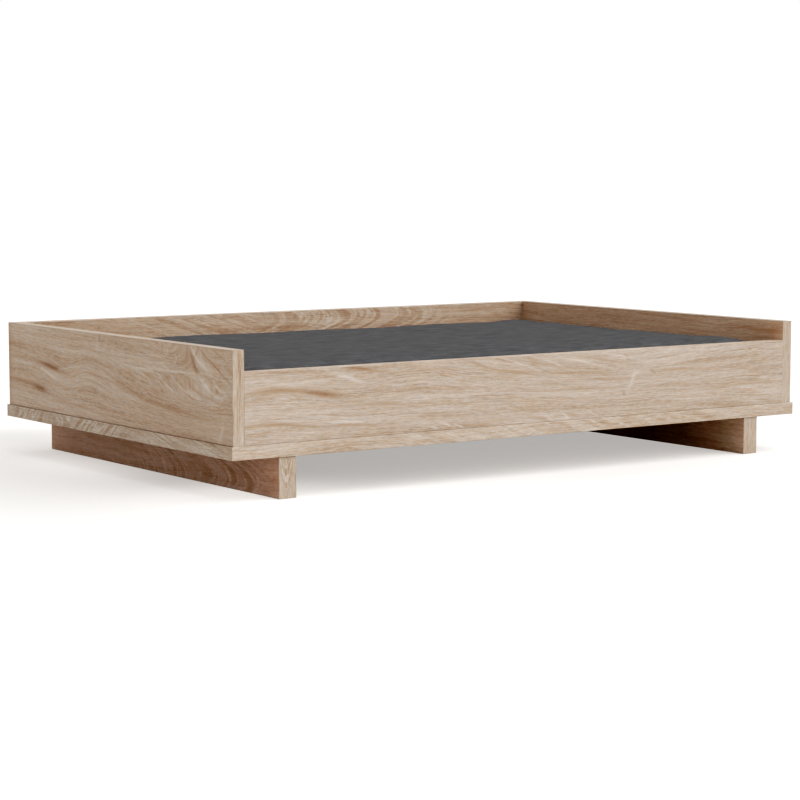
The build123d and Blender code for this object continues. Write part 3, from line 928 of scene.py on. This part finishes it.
def wovenCloth(name, yarns, roughness):
    sheen = {"Sheen_Weight": 0.01, "Sheen_Roughness": 0.6}
    f = Finish(name, Roughness=roughness, Specular_IOR_Level=0.03, **sheen)
    x, y = clothPlace(f)
    weave = weaveHeight(x, y, charcoal["thread"] * 2)
    long, thick = charcoal["slub"]
    slub = f.noise(x * (1 / long), y * (1 / thick), 2.0, 2.0)
    cross = f.noise(x * (1 / thick), y * (1 / long), 5.0, 2.0)
    long, thick = charcoal["cloud"]
    cloud = f.noise(x * (1 / long), y * (1 / thick), 8.0, 3.0, 0.6)
    tone = 0.5 + (slub - 0.5) * 2.0 + (cross - 0.5) * 0.8 + (cloud - 0.5) * 1.6 + (weave - 0.5) * 0.5
    colour = f.blend(tone, *yarns)
    height = weave * 0.6 + slub * 0.7 + cross * 0.4
    return f.feed(Base_Color=colour, Normal=f.bump(height, charcoal["bumpDepth"], 0.6))


def gripCloth():
    # the underside's cloth, with rows of small rubber dots
    f = Finish("gripCloth", Roughness=0.8, Specular_IOR_Level=0.35)
    x, y = clothPlace(f)
    weave = weaveHeight(x, y, 1.6)
    pitch = grip["dotPitch"]
    across = f.maths("PINGPONG", x, pitch) - pitch / 2
    along = f.maths("PINGPONG", y, pitch) - pitch / 2
    dot = ((grip["dotRadius"] - (across * across + along * along).root()) * 3.0).held()
    tone = weave * 0.4 + f.noise(x * 0.2, y * 0.2, 1.0) * 0.6
    colour = f.blend(dot, f.blend(tone, *grip["yarns"]), grip["rubber"])
    height = weave * 0.3 + dot
    return f.feed(Base_Color=colour, Roughness=0.85 - dot * 0.3, Normal=f.bump(height, 0.0003, 0.7))


def makeFoam():
    low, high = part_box("foam_core")
    inset = Vector((1, 1, 1)) * foamBlock["inset"]
    block = paddedBlock(low + inset, high - inset, foamBlock["cornerRound"], foamBlock["rimRound"])
    foam = newPiece("cushionFoam", block)
    f = Finish("foam", Roughness=0.95, Specular_IOR_Level=0.2)
    x, y, z = f.millimetres()
    sockets = {"Vector": f.vector(x, y, z), "Scale": 1 / foamBlock["cell"]}
    cells = f.add("ShaderNodeTexVoronoi", {"feature": "F1"}, sockets)
    patch = f.noise(x * 0.05, y * 0.05, z * 0.05, 3.0)
    colour = f.blend((cells * 0.7 + patch * 0.5).held(), foamBlock["dark"], foamBlock["light"])
    foam.data.materials.append(f.feed(Base_Color=colour, Normal=f.bump(cells, 0.0005, 0.5)))
    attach(foam, "cushion")
    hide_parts("foam_core")


makeCover()
makeFoam()
print("cushion finished")

# Zip on the cushion's back

zipper = {
    "toothPitch": 0.0014,
    "toothWidth": 0.0011,
    "toothReach": 0.0007,  # how far a tooth passes the middle line
    "toothRound": 0.00025,
    "stitch": 0.0024,
    "stitchGap": 0.0009,
    "stitchThick": 0.0004,
    "stitchIn": 0.0022,  # from a tape's outer edge
    "tapeYarns": ((0.052, 0.052, 0.054), (0.090, 0.090, 0.093)),
    "coilTone": (0.060, 0.060, 0.063),
    "metalTone": (0.20, 0.20, 0.21),
    "threads": ((0.05, 0.05, 0.052), (0.12, 0.12, 0.124)),
    "stitchEnds": 0.003,  # plain tape before the first stitch
}


def makeTeeth():
    low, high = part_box("zip_coil")
    middle = (low.z + high.z) / 2
    shape = bmesh.new()
    count = int((high.x - low.x) / zipper["toothPitch"])
    for k in range(count):
        x = low.x + (k + 0.5) * (high.x - low.x) / count
        up = k % 2 == 0
        bottom = middle - (zipper["toothReach"] if up else high.z - middle)
        top = middle + (high.z - middle if up else zipper["toothReach"])
        half = zipper["toothWidth"] / 2
        made = blockShape(shape, Vector((x - half, low.y, bottom)), Vector((x + half, high.y, top)))
        edges = {e for v in made for e in v.link_edges}
        proud = [e for e in edges if min(p.co.y for p in e.verts) > low.y + 1e-5]
        bevelEdges(shape, proud, zipper["toothRound"], 1)
    teeth = newPiece("zipTeeth", shape, smooth=False)
    f = Finish("coilNylon", Roughness=0.42, Specular_IOR_Level=0.5)
    x, y, z = f.millimetres()
    grain = f.noise(x * 2.0, y * 2.0, z * 2.0, 2.0)
    light = tuple(c * 1.9 for c in zipper["coilTone"])
    colour = f.blend(grain, zipper["coilTone"], light)
    teeth.data.materials.append(f.feed(Base_Color=colour, Roughness=0.35 + grain * 0.2))
    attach(teeth, "cushion")
    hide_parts("zip_coil")


def makeStitches():
    low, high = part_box("zip_tapes")
    shape = bmesh.new()
    pitch = zipper["stitch"] + zipper["stitchGap"]
    ends = zipper["stitchEnds"]
    count = int((high.x - low.x - ends * 2) / pitch)
    half = zipper["stitchThick"] / 2
    for z in (low.z + zipper["stitchIn"], high.z - zipper["stitchIn"]):
        for k in range(count):
            x = low.x + ends + k * pitch
            corner = Vector((x, high.y - half * 0.4, z - half))
            made = blockShape(shape, corner, corner + Vector((zipper["stitch"], half * 1.4, half * 2)))
            edges = {e for v in made for e in v.link_edges}
            proud = [e for e in edges if all(v.co.y > high.y for v in e.verts)]
            bevelEdges(shape, proud, half * 0.8, 1)
    stitches = newPiece("zipStitches", shape, smooth=False)
    f = Finish("stitchThread", Roughness=0.7, Specular_IOR_Level=0.3)
    x, y, z = f.millimetres()
    twist = (x * 9.0 + z * 14.0).wave() * 0.5 + 0.5
    colour = f.blend(twist, *zipper["threads"])
    stitches.data.materials.append(f.feed(Base_Color=colour, Normal=f.bump(twist, 0.0001, 0.6)))
    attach(stitches, "cushion")


def tapeCloth():
    # a fine herringbone tape
    f = Finish("zipTape", Roughness=0.85, Specular_IOR_Level=0.25)
    x, y, z = f.millimetres()
    slant = f.maths("PINGPONG", z, 1.5) * 1.6
    rib = (x * 6.0 + slant * 4.0).wave() * 0.5 + 0.5
    colour = f.blend(rib * 0.7 + f.noise(x * 0.3, z * 1.0, 1.0) * 0.3, *zipper["tapeYarns"])
    return f.feed(Base_Color=colour, Normal=f.bump(rib, 0.00015, 0.7))


def zipMetal():
    f = Finish("zipMetal", Metallic=1.0, Roughness=0.35)
    x, y, z = f.millimetres()
    rub = f.noise(x * 0.9, y * 0.9, z * 0.9, 3.0)
    scratch = f.noise(x * 0.4, y * 3.0, z * 6.0, 2.0)
    light = tuple(c * 1.6 for c in zipper["metalTone"])
    colour = f.blend(rub, zipper["metalTone"], light)
    bump = f.bump(scratch, 0.00005, 0.3)
    return f.feed(Base_Color=colour, Roughness=0.26 + scratch * 0.25, Normal=bump)


makeTeeth()
makeStitches()
dress("zip_tapes", tapeCloth())
metal = zipMetal()
for name in ("zip_end_stops", "zip_slider", "zip_pull"):
    dress(name, metal)
print("zip finished")

# Pegs, screws, cams and glides

fittings = {
    "steel": ((0.42, 0.42, 0.43), (0.62, 0.62, 0.62)),
    "zinc": ((0.36, 0.37, 0.38), (0.55, 0.55, 0.55)),
    "beech": ((0.43, 0.27, 0.16), (0.60, 0.43, 0.29)),
    "beechFleck": (0.34, 0.19, 0.10),
    "glide": ((0.10, 0.085, 0.07), (0.15, 0.13, 0.11)),
}


def platedMetal(name, tones, grain, roughness):
    f = Finish(name, Metallic=1.0, Roughness=roughness)
    x, y, z = f.millimetres()
    cloud = f.noise(x * 0.35, y * 0.35, z * 0.35, 3.0, 0.6)
    turned = f.noise(x * grain[0], y * grain[1], z * grain[2], 2.0)
    colour = f.blend(cloud * 0.7 + turned * 0.3, *tones)
    rough = roughness - 0.1 + cloud * 0.15 + turned * 0.12
    return f.feed(Base_Color=colour, Roughness=rough, Normal=f.bump(turned, 0.00006, 0.4))


def beechPeg():
    # fibres and flecks that run straight along the peg
    f = Finish("beechPeg", Roughness=0.6, Specular_IOR_Level=0.4)
    x, y, z = f.millimetres()
    fibre = f.noise(x * 1.6, y * 1.6, z * 0.09, 2.0)
    fleck = ((f.noise(x * 2.4, y * 2.4, z * 0.35, 1.0) - 0.6) * 9.0).held()
    colour = f.blend(fleck * 0.5, f.blend(fibre, *fittings["beech"]), fittings["beechFleck"])
    bump = f.bump(fibre - fleck * 0.4, 0.00015, 0.5)
    return f.feed(Base_Color=colour, Roughness=0.55 + fibre * 0.15, Normal=bump)


def glidePlastic():
    f = Finish("glidePlastic", Roughness=0.5, Specular_IOR_Level=0.45)
    x, y, z = f.millimetres()
    grain = f.noise(x * 1.2, y * 1.2, z * 1.2, 3.0, 0.6)
    scuff = f.noise(x * 0.12, y * 0.9, z * 0.5, 2.0)
    colour = f.blend(grain * 0.5 + scuff * 0.5, *fittings["glide"])
    return f.feed(Base_Color=colour, Roughness=0.42 + scuff * 0.25, Normal=f.bump(grain, 0.0001, 0.4))


steel = platedMetal("zincPlatedSteel", fittings["steel"], (0.5, 0.5, 5.0), 0.36)
for name in ("wall_screws", "skid_screws", "cam_bolts"):
    dress(name, steel)
dress("cam_locks", platedMetal("castZinc", fittings["zinc"], (1.5, 1.5, 1.5), 0.48))
beech = beechPeg()
for name in ("wall_dowels", "skid_dowels", "corner_dowels"):
    dress(name, beech)
dress("skid_glides", glidePlastic())
print("fittings finished")
